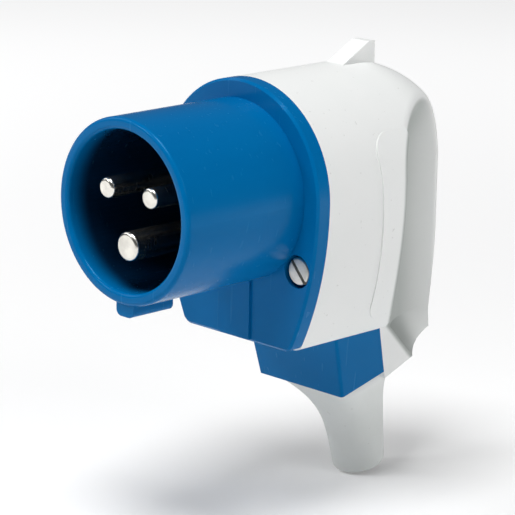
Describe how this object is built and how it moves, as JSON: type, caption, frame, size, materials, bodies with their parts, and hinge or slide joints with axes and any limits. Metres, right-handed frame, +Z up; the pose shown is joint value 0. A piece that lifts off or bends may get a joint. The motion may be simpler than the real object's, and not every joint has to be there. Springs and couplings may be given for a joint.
{
  "type": "right-angle industrial plug",
  "caption": "Right-angle industrial plug with a round blue shroud, contact pins, a pale domed rear cover with finger grooves and a leaning cable entry with a soft sleeve.",
  "frame": {"origin": "centre of the shroud in the flange's front plane", "axes": "-Y along the contact pins into the socket, +Z up from the cable entry to the lid hook, +X to the side"},
  "size_m": [0.0536, 0.1008, 0.1112],
  "materials": {
    "blue_plastic": "moulded, softly glossy",
    "white_plastic": "moulded, satin",
    "grey_rubber": "soft satin",
    "seal_rubber": "matte",
    "black_plastic": "moulded, satin",
    "clamp_plastic": "moulded, satin",
    "nickel_contact": "nickel plated",
    "brass_insert": "turned",
    "steel_screw": "zinc plated"
  },
  "bodies": {
    "root": {"front_housing": "blue_plastic", "entry_block": "blue_plastic", "rear_cover": "white_plastic", "cord_sleeve": "grey_rubber", "flange_gasket": "seal_rubber", "contact_carrier": "black_plastic", "pin_retainer": "black_plastic", "cord_clamp": "clamp_plastic", "line_pin": "nickel_contact", "neutral_pin": "nickel_contact", "earth_pin": "nickel_contact", "line_terminal_screw": "steel_screw", "neutral_terminal_screw": "steel_screw", "earth_terminal_screw": "steel_screw", "flange_insert_left": "brass_insert", "flange_insert_right": "brass_insert", "flange_screw_left": "steel_screw", "flange_screw_right": "steel_screw", "carrier_screw_left": "steel_screw", "carrier_screw_right": "steel_screw", "block_screw_left": "steel_screw", "block_screw_right": "steel_screw", "clamp_screw_left": "steel_screw", "clamp_screw_right": "steel_screw"}
  },
  "joints": []
}
